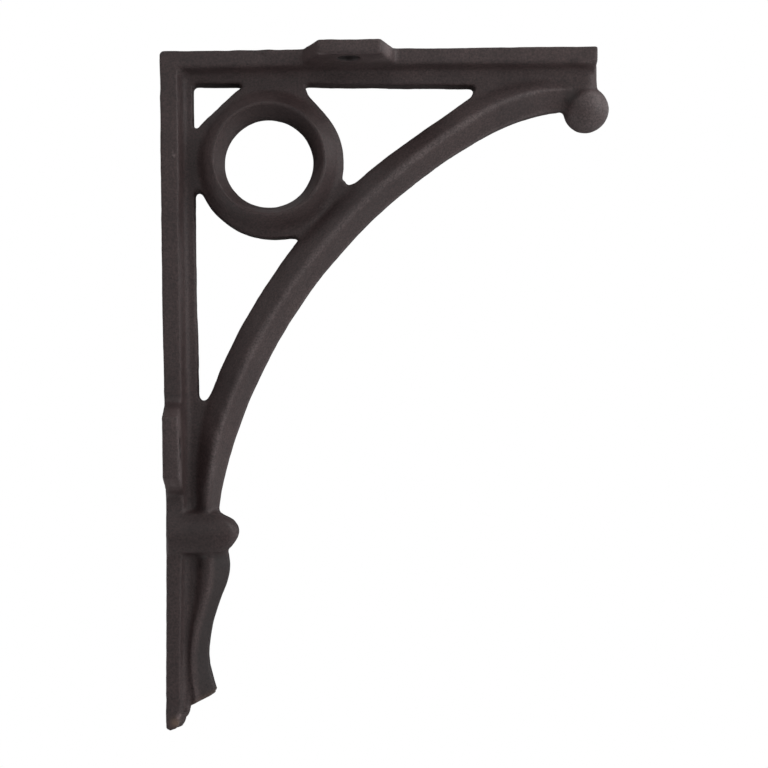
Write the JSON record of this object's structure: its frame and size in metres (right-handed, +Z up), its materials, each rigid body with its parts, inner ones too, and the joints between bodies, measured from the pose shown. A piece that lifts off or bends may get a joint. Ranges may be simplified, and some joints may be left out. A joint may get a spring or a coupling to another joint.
{
  "type": "ornate cast iron shelf bracket",
  "caption": "Cast iron shelf bracket: wall and shelf flanges with screw ears, joined by a web, a ring and a curved brace that ends in a ball and a foot.",
  "frame": {"origin": "on the wall face, midway between the two wall screws", "axes": "+Z up to the shelf, +X out from the wall, Y across the bracket's thickness; the pictured side faces -Y"},
  "size_m": [0.1524, 0.044, 0.2286],
  "materials": {
    "cast_iron": "matte brown-black sand-cast iron, unpainted look, faintly grainy, with slightly polished ridges"
  },
  "bodies": {
    "root": {"shelf_bracket": "cast_iron"}
  },
  "joints": []
}
